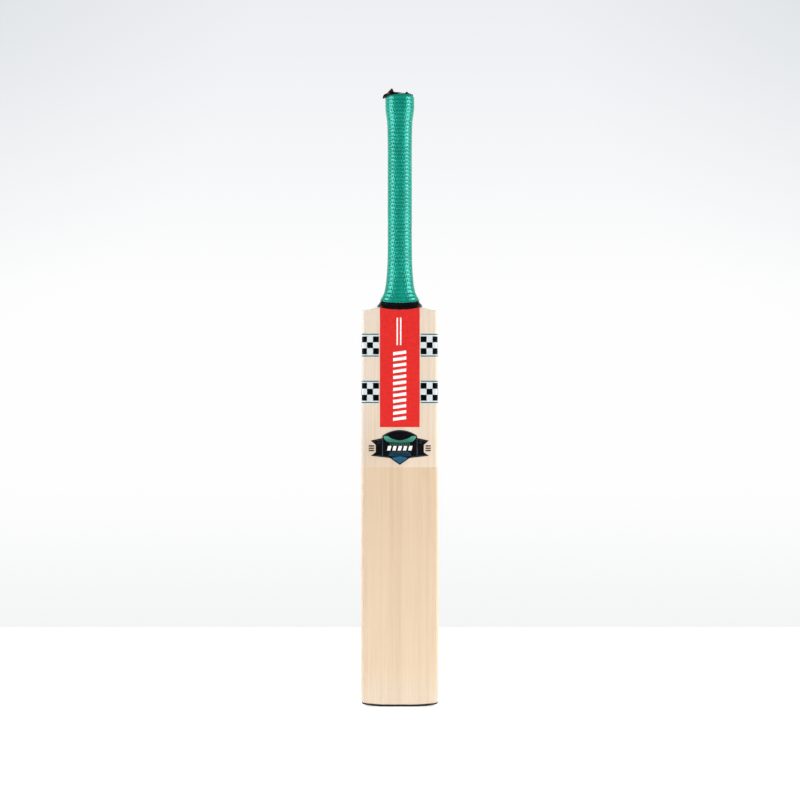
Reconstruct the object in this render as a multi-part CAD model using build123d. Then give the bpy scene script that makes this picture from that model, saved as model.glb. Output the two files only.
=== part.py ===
from build123d import *
import math
import os

# Short-handle cricket bat, standing on its toe with the face towards -Y and the handle up +Z.
# The origin is on the ground, under the middle of the bat's bounding box. All sizes are in millimetres.

# ---- overall ---------------------------------------------------------------------------------------
half_depth = 33.1            # half the greatest depth, from the grip's collar to the top of the swell
handle_end_z = 847.0         # top of the cane
grip_top_z = 849.2           # top of the grip's rolled rim

# ---- willow blade ----------------------------------------------------------------------------------
# One row per section: height, half width, depth of the edge, depth at the spine.
blade_sections = (
    (-6.0, 53.89, 18.0, 27.0),
    (60.0, 53.89, 26.0, 39.0),
    (130.0, 53.89, 33.0, 51.5),
    (225.0, 53.89, 37.0, 60.0),
    (310.0, 53.5, 35.5, 56.5),
    (400.0, 53.1, 31.0, 47.5),
    (480.0, 52.7, 26.0, 38.5),
    (550.0, 52.1, 23.0, 33.4),
    (650.0, 52.0, 22.0, 33.0),
)
swell_depth = 60.0
face_camber = 1.8            # how far the face falls back from its middle to its edges
face_edge_radius = 4.5
back_edge_radius = 9.0
bow = 2.5                    # how far the middle of the face lies behind the line from toe to shoulder
bow_middle_z = 280.0
bow_half_length = 285.0
flank_start_slope = 0.17     # share of the flank's rise that is reached at its first control point
flank_wide = 0.70            # places of the flank's two control points, as shares of its width
flank_narrow = 0.30
circle_bezier = 0.5523       # handle length of the cubic that follows a quarter circle

face_middle_y = half_depth - swell_depth
face_end_y = face_middle_y - bow
through = 70.0               # more than the half depth, for tools that cut right through the bat

# ---- toe -------------------------------------------------------------------------------------------
toe_flat_half_width = 20.0   # the flat that the bat stands on
toe_curve_radius = 155.0
toe_curve_end_x = 47.0
toe_corner_radius = 6.5
toe_side_x = 54.15
toe_guard_thickness = 2.0
toe_guard_top_z = 5.5        # height of the guard's upper edge at the toe's corners

# ---- neck and handle -------------------------------------------------------------------------------
# The neck is elliptical. It sweeps the shoulders into the round handle: half width, half depth, height.
neck_points = (
    (68.0, 48.0, 545.5),
    (52.0, 34.0, 549.0),
    (41.0, 26.0, 551.3),
    (35.0, 21.8, 553.2),
    (30.6, 19.2, 555.8),
    (26.8, 17.4, 560.0),
    (22.0, 16.3, 567.0),
    (18.6, 15.7, 575.0),
    (16.9, 15.2, 584.0),
    (15.3, 14.7, 600.0),
    (14.4, 14.3, 620.0),
    (14.05, 14.05, 645.0),
)
neck_start_direction = (-1, -1, 0.2)
neck_end_direction = (0, 0, 1)
neck_ring_count = 20
cane_radius = neck_points[-1][0]
shaft_bottom_z = neck_points[-1][2]
shaft_straight_top_z = 766.0
butt_bottom_z = 830.0        # the handle swells to this height and is then straight to its end
butt_radius = 15.4
cane_end_round = 1.0

# The handle's lower end is a wedge in the blade's V slot.
splice_tip_z = 425.0
splice_tip_half_width = 3.5
splice_top_z = 592.0         # where the willow's two horns end on the sides of the handle
splice_top_half_width = 14.8

# The handle is four slabs of three canes, with rubber springs between the slabs.
slab_depth = 7.2
middle_cane_width = 9.4
spring_thickness = 1.2
spring_bottom_z = 500.0

# ---- coverings -------------------------------------------------------------------------------------
binding_thickness = 0.8
binding_bottom_z = 566.0     # the twine starts where the tape round the neck ends
grip_thickness = 2.0
grip_waist_radius = 17.5      # the grip thickens from the shaft through this place to its collar
grip_waist_z = 808.0
grip_collar_radius = 20.2
grip_collar_bottom_z = 830.0
grip_rim_radius = 5.0
grip_mouth_radius = 11.0     # opening of the rim over the end of the cane
grip_edge_side_z = 564.6     # the grip's lower edge dips from here to the middle of the face and back
grip_edge_dip = 5.4
grip_edge_half_width = 29.0
tape_edge_side_z = 556.5
tape_edge_dip = 6.8
tape_edge_half_width = 32.0

handle_y = grip_collar_radius - half_depth

# ---- stickers and film -----------------------------------------------------------------------------
sticker_thickness = 0.2
film_thickness = 0.3
film_bottom_z = 22.0
film_top_z = 331.5
panel_half_width = 27.5
panel_bottom_z = 387.0
panel_cut_z = 562.0          # above the tape's lower edge, which trims the panel
band_inner_x = 28.3
band_back_x = 29.0           # how near to the spine the bands reach on the back
band_upper_z = (483.6, 517.2)
band_lower_z = (419.1, 452.3)
badge_arch_top_z = 383.0
badge_arch_end = (24.0, 375.0)
badge_right_side = (          # corners from under the arch, round the swallow tail, to the lower point
    (24.0, 372.0),
    (40.3, 368.4),
    (33.3, 362.4),
    (33.3, 352.2),
    (40.3, 347.3),
    (13.6, 344.2),
    (0.0, 334.6),
)
mark_inner_x = 35.7
mark_outer_x = 43.0
mark_bottom_z = 353.6
mark_bar_height = 1.9
mark_bar_pitch = 3.2
mark_bar_count = 3

# ---- loose tape on the handle's end ----------------------------------------------------------------
end_tape_thickness = 0.4
end_tape_near_y = handle_y - 17.0
end_tape_far_y = handle_y - 8.0
end_tape_path = (
    (-23.0, 846.0),
    (-20.6, 849.8),
    (-16.0, 851.2),
    (-8.5, 851.4),
    (-3.0, 851.8),
    (0.0, 849.4),
    (7.0, 849.4),
    (9.0, 850.8),
    (11.0, 850.8),
    (14.0, 849.8),
    (18.0, 848.2),
)
liner_tip = (-11.0, 856.0)
liner_thickness = 0.3
liner_y = handle_y - 13.0


def face_line_y(height):
    """Depth of the middle of the face, which is bowed along its length."""
    along = (height - bow_middle_z) / bow_half_length
    return face_middle_y - bow * along * along


def quarter_round(start, start_direction, end, end_direction, radius, height):
    """Cubic that rounds a corner, leaving start and reaching end along the two directions."""
    reach = circle_bezier * radius
    length = math.hypot(*start_direction)
    first = (start[0] + reach * start_direction[0] / length, start[1] + reach * start_direction[1] / length)
    length = math.hypot(*end_direction)
    second = (end[0] - reach * end_direction[0] / length, end[1] - reach * end_direction[1] / length)
    return [(x, y, height) for x, y in (start, first, second, end)]


def mirror_points(points):
    """The same control points on the other side of the bat, in reverse order."""
    return [(-x, y, z) for x, y, z in reversed(points)]


def blade_section(height, half_width, edge_depth, spine_depth, skin):
    """Closed section of the blade, grown outwards by skin: cambered face, edges and ridged back."""
    face_y = face_line_y(height) - skin
    side_x = half_width + skin
    front_round = face_edge_radius + skin
    back_round = back_edge_radius + skin
    front_x = side_x - front_round
    back_x = side_x - back_round
    edge_front_y = face_y + face_camber
    edge_back_y = edge_front_y + edge_depth + 2 * skin
    spine_y = face_y + spine_depth + 2 * skin
    flank_rise = (spine_y - edge_back_y) * flank_start_slope

    face = [(-front_x, edge_front_y, height), (0, face_y - face_camber, height), (front_x, edge_front_y, height)]
    front_corner = quarter_round(
        (front_x, edge_front_y), (front_x, 2 * face_camber),
        (side_x, edge_front_y + front_round), (0, 1), front_round, height,
    )
    back_corner = quarter_round(
        (side_x, edge_back_y - back_round), (0, 1),
        (back_x, edge_back_y), (-back_x * (1 - flank_wide), flank_rise), back_round, height,
    )
    side = [front_corner[-1], back_corner[0]]
    flank = [
        back_corner[-1],
        (back_x * flank_wide, edge_back_y + flank_rise, height),
        (back_x * flank_narrow, spine_y, height),
        (0, spine_y, height),
    ]
    right = [Bezier(*front_corner), Line(*side), Bezier(*back_corner), Bezier(*flank)]
    left = [
        Bezier(*mirror_points(flank)), Bezier(*mirror_points(back_corner)),
        Line(*mirror_points(side)), Bezier(*mirror_points(front_corner)),
    ]
    return make_face(Curve() + [Bezier(*face)] + right + left)


def blade_envelope(skin):
    """The blade's full form, from below the toe to above the neck, grown outwards by skin."""
    return loft([blade_section(*row, skin) for row in blade_sections])


def neck_rings(skin):
    """Ellipses at equal steps along the neck's sweep, moved out by skin square to its side."""
    sweep = Spline(*neck_points, tangents=(neck_start_direction, neck_end_direction))
    rings = []
    for index in range(neck_ring_count + 1):
        distance = sweep.length * index / neck_ring_count
        half_width, half_depth_here, height = sweep.position_at(distance, position_mode=PositionMode.LENGTH)
        direction = sweep.tangent_at(distance, position_mode=PositionMode.LENGTH)
        steepness = math.hypot(direction.X, direction.Z)
        outwards = skin * direction.Z / steepness
        lift = -skin * direction.X / steepness
        ring = Ellipse(half_width + outwards, half_depth_here + outwards)
        rings.append(Pos(0, handle_y, height + lift) * ring)
    return rings


def neck_bell(skin):
    """Flared neck over a block that is wider than the blade, so that it trims only the shoulders."""
    bell = loft(neck_rings(skin))
    base_z = bell.bounding_box().min.Z
    block_bottom_z = blade_sections[0][0] - through
    block = Pos(0, 0, block_bottom_z) * Box(
        4 * through, 4 * through, base_z - block_bottom_z, align=(Align.CENTER, Align.CENTER, Align.MIN)
    )
    return bell + block


def turned(points_and_edges):
    """Solid of revolution about the handle's axis, from edges drawn in the XZ plane."""
    profile = make_face(Curve() + points_and_edges)
    return Pos(0, handle_y, 0) * revolve(profile, Axis.Z)


def cane_shaft(skin, end_round):
    """Round handle above the neck, with a slight swell towards its end."""
    shaft_radius = cane_radius + skin
    end_radius = butt_radius + skin
    base = (0, 0, shaft_bottom_z)
    start = (shaft_radius, 0, shaft_bottom_z)
    straight = (shaft_radius, 0, shaft_straight_top_z)
    butt = (end_radius, 0, butt_bottom_z)
    shoulder = (end_radius, 0, handle_end_z - end_round)
    lip = (end_radius - end_round, 0, handle_end_z)
    top = (0, 0, handle_end_z)
    edges = [
        Line(base, start),
        Line(start, straight),
        Spline(straight, butt, tangents=((0, 0, 1), (0, 0, 1))),
        Line(butt, shoulder),
    ]
    if end_round > 0:
        edges.append(Line(shoulder, lip))
    edges.append(Line(lip, top))
    edges.append(Line(top, base))
    return turned(edges)


def grip_shaft():
    """Outside of the grip above the neck: straight, then a thick collar with a rolled rim."""
    radius = cane_radius + binding_thickness + grip_thickness
    base = (0, 0, shaft_bottom_z)
    start = (radius, 0, shaft_bottom_z)
    straight = (radius, 0, shaft_straight_top_z)
    waist = (grip_waist_radius, 0, grip_waist_z)
    collar = (grip_collar_radius, 0, grip_collar_bottom_z)
    rim = (grip_collar_radius, 0, grip_top_z - grip_rim_radius)
    half_way = grip_rim_radius * (1 - math.sqrt(0.5))
    rim_middle = (grip_collar_radius - half_way, 0, grip_top_z - half_way)
    rim_top = (grip_collar_radius - grip_rim_radius, 0, grip_top_z)
    top = (0, 0, grip_top_z)
    return turned([
        Line(base, start),
        Line(start, straight),
        Spline(straight, waist, collar, tangents=((0, 0, 1), (0, 0, 1))),
        Line(collar, rim),
        ThreePointArc(rim, rim_middle, rim_top),
        Line(rim_top, top),
        Line(top, base),
    ])


def depth_prism(outline):
    """Closed outline in the XZ plane, extruded right through the bat."""
    return Pos(0, through, 0) * extrude(outline, 2 * through, dir=(0, -1, 0))


def zone(low_x, high_x, low_y, high_y, low_z, high_z):
    """Box between limits on each axis."""
    size = (high_x - low_x, high_y - low_y, high_z - low_z)
    return Pos(low_x, low_y, low_z) * Box(*size, align=(Align.MIN, Align.MIN, Align.MIN))


def zone_above(height):
    """Everything above a height."""
    return zone(-2 * through, 2 * through, -2 * through, 2 * through, height, handle_end_z + through)


def saddle_zone(side_z, dip, half_width, top_z):
    """Region above an edge that dips in an elliptical curve between the two sides of the neck."""
    arc = EllipticalCenterArc((0, 0), half_width, dip, start_angle=180, arc_size=180)
    corners = Polyline((half_width, 0), (half_width, top_z - side_z), (-half_width, top_z - side_z), (-half_width, 0))
    outline = Plane.XZ * make_face(Curve() + [arc, corners])
    return depth_prism(Pos(0, 0, side_z) * outline)


def toe_prism(lift):
    """Front outline of the blade round its toe, raised by lift."""
    curve_run = toe_curve_end_x - toe_flat_half_width
    curve_angle = math.asin(curve_run / toe_curve_radius)
    curve_rise = toe_curve_radius * (1 - math.cos(curve_angle))
    corner_rise = curve_rise + (toe_side_x - toe_curve_end_x) * math.tan(curve_angle)
    flat_right = (toe_flat_half_width, lift)
    curve_right = (toe_curve_end_x, lift + curve_rise)
    corner_right = (toe_side_x, lift + corner_rise)
    top_right = (toe_side_x, handle_end_z)
    flat_left, curve_left, corner_left, top_left = [
        (-x, z) for x, z in (flat_right, curve_right, corner_right, top_right)
    ]
    outline = make_face(Curve() + [
        Line(flat_left, flat_right),
        RadiusArc(flat_right, curve_right, -toe_curve_radius),
        Line(curve_right, corner_right),
        Line(corner_right, top_right),
        Line(top_right, top_left),
        Line(top_left, corner_left),
        Line(corner_left, curve_left),
        RadiusArc(curve_left, flat_left, -toe_curve_radius),
    ])
    corners = [v for v in outline.vertices() if abs(v.X) > toe_curve_end_x + 1 and v.Y < handle_end_z / 2]
    outline = fillet(corners, toe_corner_radius)
    return depth_prism(Plane.XZ * outline)


def wood_form(skin):
    """Blade, shoulders and neck as one form, grown outwards by skin, up to the round handle."""
    return blade_envelope(skin) & neck_bell(skin)


def splice_zone():
    """The V slot, and above the willow's horns the whole handle."""
    outline = Polyline(
        (-splice_tip_half_width, splice_tip_z),
        (splice_tip_half_width, splice_tip_z),
        (splice_top_half_width, splice_top_z),
        (-splice_top_half_width, splice_top_z),
        close=True,
    )
    return depth_prism(Plane.XZ * make_face(outline)) + zone_above(splice_top_z)


def cane_strips(handle):
    """Twelve canes and three rubber springs, cut from the handle's form."""
    wide = 2 * through
    slab_planes = [handle_y - slab_depth, handle_y, handle_y + slab_depth]
    slab_limits = [-wide] + slab_planes + [wide]
    column_limits = [-wide, -middle_cane_width / 2, middle_cane_width / 2, wide]
    spring_half = spring_thickness / 2
    springs = {}
    for plane_y, name in zip(slab_planes, ("front", "middle", "back")):
        sheet = zone(-wide, wide, plane_y - spring_half, plane_y + spring_half, spring_bottom_z, handle_end_z + wide)
        springs["spring_" + name] = sheet
    canes = {}
    for slab, slab_name in enumerate(("face", "inner_face", "inner_back", "back")):
        for column, column_name in enumerate(("left", "middle", "right")):
            cell = zone(
                column_limits[column], column_limits[column + 1],
                slab_limits[slab], slab_limits[slab + 1],
                splice_tip_z - wide, handle_end_z + wide,
            )
            cane = handle & cell
            for sheet in springs.values():
                cane = cane - sheet
            canes["cane_" + slab_name + "_" + column_name] = cane
    for name, sheet in springs.items():
        canes[name] = handle & sheet
    return canes


def badge_outline():
    """Banner with swallow tails, an arched top and a shallow point below."""
    right = [badge_arch_end, *badge_right_side]
    left = [(-x, z) for x, z in reversed(right[:-1])]
    arch = ThreePointArc(left[-1], (0, badge_arch_top_z), right[0])
    return make_face(Curve() + [arch, Polyline(*right, *left)])


def mark_bars(side):
    """Stack of short bars beside the badge; side is -1 on the left and 1 on the right."""
    low_x, high_x = sorted((side * mark_inner_x, side * mark_outer_x))
    bars = []
    for index in range(mark_bar_count):
        low_z = mark_bottom_z + index * mark_bar_pitch
        bars.append(zone(low_x, high_x, -through, handle_y, low_z, low_z + mark_bar_height))
    return bars


def band_zone(side, limits_z):
    """Region of a check band, which wraps one edge of the blade from the face to the back."""
    front = zone(band_inner_x, through, -through, handle_y, *limits_z)
    back = zone(band_back_x, through, handle_y, through, *limits_z)
    region = front + back
    return region if side > 0 else mirror(region, Plane.YZ)


def loose_strip():
    """Thin crumpled strip of tape that lies across the grip's rim, drawn from the front."""
    half = end_tape_thickness / 2
    upper = [(x, z + half) for x, z in end_tape_path]
    lower = [(x, z - half) for x, z in reversed(end_tape_path)]
    outline = Plane.XZ * make_face(Polyline(*upper, *lower, close=True))
    return Pos(0, end_tape_far_y, 0) * extrude(outline, end_tape_far_y - end_tape_near_y, dir=(0, -1, 0))


def liner_flag():
    """Torn triangle of the tape's liner, standing on the strip."""
    half = end_tape_thickness / 2
    foot_left, foot_right = [(x, z + half) for x, z in end_tape_path[2:4]]
    outline = Plane.XZ * make_face(Polyline(foot_left, foot_right, liner_tip, close=True))
    return Pos(0, liner_y + liner_thickness / 2, 0) * extrude(outline, liner_thickness, dir=(0, -1, 0))


def build_nodes():
    """All the pieces of the bat, by node name."""
    bare = wood_form(0)
    taped = wood_form(binding_thickness)
    gripped = wood_form(binding_thickness + grip_thickness)
    stickered = wood_form(sticker_thickness)
    filmed = wood_form(film_thickness)

    tape_zone = saddle_zone(tape_edge_side_z, tape_edge_dip, tape_edge_half_width, binding_bottom_z)
    grip_zone = saddle_zone(grip_edge_side_z, grip_edge_dip, grip_edge_half_width, grip_top_z + through)
    handle_zone = splice_zone()
    cane_form = bare + cane_shaft(0, cane_end_round)
    bound_form = taped + cane_shaft(binding_thickness, 0)

    nodes = {}
    willow = (bare - handle_zone) & toe_prism(toe_guard_thickness)
    nodes["blade"] = willow
    toe_shell = blade_envelope(0) & toe_prism(0) & zone(
        -through, through, -through, through, -through, toe_guard_top_z
    )
    nodes["toe_guard"] = toe_shell - toe_prism(toe_guard_thickness)

    handle = cane_form & handle_zone
    nodes.update(cane_strips(handle))
    nodes["twine_binding"] = (bound_form & zone_above(binding_bottom_z)) - cane_form
    nodes["collar_tape"] = (taped & tape_zone) - bare
    mouth = Pos(0, handle_y, handle_end_z) * Cylinder(
        grip_mouth_radius, through, align=(Align.CENTER, Align.CENTER, Align.MIN)
    )
    nodes["grip"] = ((gripped + grip_shaft()) & grip_zone) - bound_form - mouth

    front = zone(-through, through, -through, handle_y, -through, handle_end_z)
    face_skin = (stickered & front) - bare
    panel = zone(-panel_half_width, panel_half_width, -through, handle_y, panel_bottom_z, panel_cut_z)
    nodes["face_panel"] = (face_skin & panel) - tape_zone
    nodes["badge"] = face_skin & depth_prism(Plane.XZ * badge_outline())
    nodes["side_mark_left"] = face_skin & Compound(mark_bars(-1))
    nodes["side_mark_right"] = face_skin & Compound(mark_bars(1))
    wrap_skin = stickered - bare
    nodes["check_band_upper_left"] = wrap_skin & band_zone(-1, band_upper_z)
    nodes["check_band_upper_right"] = wrap_skin & band_zone(1, band_upper_z)
    nodes["check_band_lower_left"] = wrap_skin & band_zone(-1, band_lower_z)
    nodes["check_band_lower_right"] = wrap_skin & band_zone(1, band_lower_z)

    film_back_y = face_end_y + face_camber + face_edge_radius
    film = zone(-through, through, -through, film_back_y, film_bottom_z, film_top_z)
    nodes["face_film"] = (filmed - bare) & film

    nodes["end_tape"] = loose_strip()
    nodes["end_tape_liner"] = liner_flag()
    return nodes


os.makedirs("parts", exist_ok=True)
for node_name, shape in build_nodes().items():
    export_step(shape, "parts/" + node_name + ".step")
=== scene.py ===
import bmesh
import bpy
import math
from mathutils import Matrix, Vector, noise
from mathutils.bvhtree import BVHTree


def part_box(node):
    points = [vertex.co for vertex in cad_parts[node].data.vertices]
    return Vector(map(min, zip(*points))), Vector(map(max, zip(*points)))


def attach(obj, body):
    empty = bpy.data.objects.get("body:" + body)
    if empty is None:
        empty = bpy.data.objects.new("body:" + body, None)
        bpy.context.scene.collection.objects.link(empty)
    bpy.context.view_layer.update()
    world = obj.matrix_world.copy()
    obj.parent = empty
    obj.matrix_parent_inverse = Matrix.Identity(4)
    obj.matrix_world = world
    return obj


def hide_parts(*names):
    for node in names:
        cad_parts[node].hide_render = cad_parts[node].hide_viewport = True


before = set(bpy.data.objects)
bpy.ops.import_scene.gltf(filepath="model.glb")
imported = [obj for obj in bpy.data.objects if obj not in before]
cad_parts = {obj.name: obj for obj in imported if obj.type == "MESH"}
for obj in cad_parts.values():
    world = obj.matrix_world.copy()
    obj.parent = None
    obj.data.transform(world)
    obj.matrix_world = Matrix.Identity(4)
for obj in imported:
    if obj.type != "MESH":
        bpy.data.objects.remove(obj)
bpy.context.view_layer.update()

scene = bpy.context.scene

# Looks of a short-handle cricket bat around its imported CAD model. Lengths in this file are in
# millimetres until a mesh is made, the bat stands on its toe, and its face looks towards -Y.
MM = 0.001
HANDLE_Y = -12.9             # axis of the handle
RAY_START = 200.0            # how far outside the bat rays start
RAY_REACH = 260.0
FILM_BOTTOM = 0.022          # heights and depth of the film's edges, in metres
FILM_TOP = 0.3315
FILM_BACK = -0.0231
GROWTH_LINE_PITCH = 0.0083   # in metres

# ---- small helpers ----


def lerp(low, high, share):
    return low + (high - low) * share


def smoothstep(low, high, value):
    share = min(1.0, max(0.0, (value - low) / (high - low)))
    return share * share * (3 - 2 * share)


def smooth_table(table, at):
    """Catmull-Rom value of a table of (place, value) rows that rise in place."""
    if at <= table[0][0]:
        return table[0][1]
    if at >= table[-1][0]:
        return table[-1][1]
    row = next(i for i in range(len(table) - 1) if table[i + 1][0] >= at)
    (x1, y1), (x2, y2) = table[row], table[row + 1]
    x0, y0 = table[max(0, row - 1)]
    x3, y3 = table[min(len(table) - 1, row + 2)]
    slope1 = (y2 - y0) / (x2 - x0)
    slope2 = (y3 - y1) / (x3 - x1)
    span = x2 - x1
    t = (at - x1) / span
    t2, t3 = t * t, t * t * t
    return (
        (2 * t3 - 3 * t2 + 1) * y1 + (t3 - 2 * t2 + t) * span * slope1
        + (3 * t2 - 2 * t3) * y2 + (t3 - t2) * span * slope2
    )


def target(*names):
    """Surface of some CAD nodes, for rays to hit."""
    verts, faces = [], []
    for name in names:
        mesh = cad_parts[name].data
        base = len(verts)
        verts += [v.co.copy() for v in mesh.vertices]
        faces += [[base + i for i in p.vertices] for p in mesh.polygons]
    return BVHTree.FromPolygons(verts, faces)


def cast(tree, start, direction, reach):
    """First hit of a ray, in millimetres, with the normal turned against the ray; or None."""
    way = Vector(direction).normalized()
    point, normal, _, _ = tree.ray_cast(Vector(start) * MM, way, reach * MM)
    if point is None:
        return None
    if normal.dot(way) > 0:
        normal = -normal
    return point / MM, normal


def level_hit(tree, across, height, side=-1):
    """First hit of a level ray from in front of the bat, or from behind it where side is 1."""
    return cast(tree, (across, side * RAY_START, height), (0, -side, 0), RAY_REACH)


def add_mesh(name, verts, faces, material, slot):
    """A piece of the bat from vertices in millimetres."""
    mesh = bpy.data.meshes.new(name)
    mesh.from_pydata([Vector(v) * MM for v in verts], [], faces)
    return finish_mesh(name, mesh, material)


def finish_mesh(name, mesh, material):
    """Object from a mesh, smooth, with its normals turned outwards, riding on the bat."""
    work = bmesh.new()
    work.from_mesh(mesh)
    bmesh.ops.recalc_face_normals(work, faces=work.faces[:])
    for face in work.faces:
        face.smooth = True
    work.to_mesh(mesh)
    work.free()
    mesh.materials.append(material)
    made = bpy.data.objects.new(name, mesh)
    scene.collection.objects.link(made)
    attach(made, "root")
    return made


def skin(outer, inner, closed=False):
    """Closed thin skin between two grids of points. closed joins the ends of every row."""
    rows, columns = len(outer), len(outer[0])
    verts = [p for row in outer for p in row] + [p for row in inner for p in row]
    faces = []
    half = rows * columns
    spans = columns if closed else columns - 1

    def corner(row, column):
        return row * columns + column % columns

    for row in range(rows - 1):
        for column in range(spans):
            quad = [
                corner(row, column), corner(row, column + 1),
                corner(row + 1, column + 1), corner(row + 1, column),
            ]
            faces.append(quad)
            faces.append([half + i for i in reversed(quad)])
    for column in range(spans):
        for row in (0, rows - 1):
            a, b = corner(row, column), corner(row, column + 1)
            faces.append([a, b, half + b, half + a])
    if not closed:
        for row in range(rows - 1):
            for column in (0, columns - 1):
                a, b = corner(row, column), corner(row + 1, column)
                faces.append([a, b, half + b, half + a])
    return verts, faces


def ring_faces(base, sides, rings):
    """Quads between rings of points that lie one after another from a base."""
    faces = []
    for low in range(base, base + (rings - 1) * sides, sides):
        for side in range(sides):
            after = (side + 1) % sides
            faces.append([low + side, low + after, low + sides + after, low + sides + side])
    return faces


def around(radius, angle, height):
    """Place round the handle's axis."""
    return radius * math.cos(angle), HANDLE_Y + radius * math.sin(angle), height


def wobble(x, y, z):
    """Smooth noise from about -1 to 1."""
    return noise.noise(Vector((x, y, z)))


# ---- materials ----


def colour(red, green, blue):
    """Linear colour from the eight-bit values of a screen."""
    channels = []
    for value in (red, green, blue):
        share = value / 255
        channels.append(share / 12.92 if share <= 0.04045 else ((share + 0.055) / 1.055) ** 2.4)
    return (*channels, 1.0)


def grey(value):
    return (value, value, value, 1.0)


def add(tree, kind, sockets=None, **settings):
    """Shader node. sockets gives its inputs, by name or number, as constants or outputs of other nodes."""
    made = tree.nodes.new("ShaderNode" + kind)
    for key, value in settings.items():
        setattr(made, key, value)
    for key, value in (sockets or {}).items():
        if isinstance(value, bpy.types.NodeSocket):
            tree.links.new(value, made.inputs[key])
        else:
            made.inputs[key].default_value = value
    return made


def maths(tree, operation, first, second=0.0, third=0.0):
    return add(tree, "Math", {0: first, 1: second, 2: third}, operation=operation).outputs[0]


def span(tree, value, low, high, to_low=0.0, to_high=1.0):
    """Value mapped from one range to another, held at the ends."""
    sockets = {0: value, 1: low, 2: high, 3: to_low, 4: to_high}
    return add(tree, "MapRange", sockets).outputs[0]


def ramp(tree, factor, stops):
    made = add(tree, "ValToRGB", {"Fac": factor})
    elements = made.color_ramp.elements
    elements.remove(elements[-1])
    elements[0].position, elements[0].color = stops[0]
    for position, shade in stops[1:]:
        elements.new(position).color = shade
    return made.outputs["Color"]


def blend(tree, base, over, share=1.0):
    """Colour multiplied by another."""
    sockets = {0: share, 6: base, 7: over}
    return add(tree, "Mix", sockets, data_type="RGBA", blend_type="MULTIPLY").outputs[2]


def tint(tree, base, factor, stops):
    return blend(tree, base, ramp(tree, factor, stops))


def position(tree, scale=(1, 1, 1)):
    """Place on the object in metres, stretched by scale."""
    place = add(tree, "TexCoord").outputs["Object"]
    return add(tree, "Mapping", {"Vector": place, "Scale": scale}).outputs["Vector"]


def axes(tree):
    """Place on the object as its three parts."""
    return add(tree, "SeparateXYZ", {0: position(tree)}).outputs


def distance_from(tree, place):
    """Distance in metres from a place on the object."""
    sockets = {0: position(tree), 1: place}
    return add(tree, "VectorMath", sockets, operation="DISTANCE").outputs["Value"]


def grain(tree, scale, detail=3.0):
    sockets = {"Vector": position(tree, scale), "Scale": 1.0, "Detail": detail, "Roughness": 0.55}
    return add(tree, "TexNoise", sockets).outputs[0]


def relief(tree, shader, height, depth_mm, strength):
    sockets = {"Height": height, "Distance": depth_mm * MM, "Strength": strength}
    feed(tree, shader, Normal=add(tree, "Bump", sockets).outputs["Normal"])


def feed(tree, shader, **links):
    """Links outputs to the shader's sockets, named with underscores for spaces."""
    for key, value in links.items():
        tree.links.new(value, shader.inputs[key.replace("_", " ")])


def new_material(name, **constants):
    """Material with a Principled shader whose even values are set on its own sockets."""
    material = bpy.data.materials.new(name)
    material.use_nodes = True
    tree = material.node_tree
    shader = tree.nodes["Principled BSDF"]
    for key, value in constants.items():
        shader.inputs[key.replace("_", " ")].default_value = value
    return material, tree, shader


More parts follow.
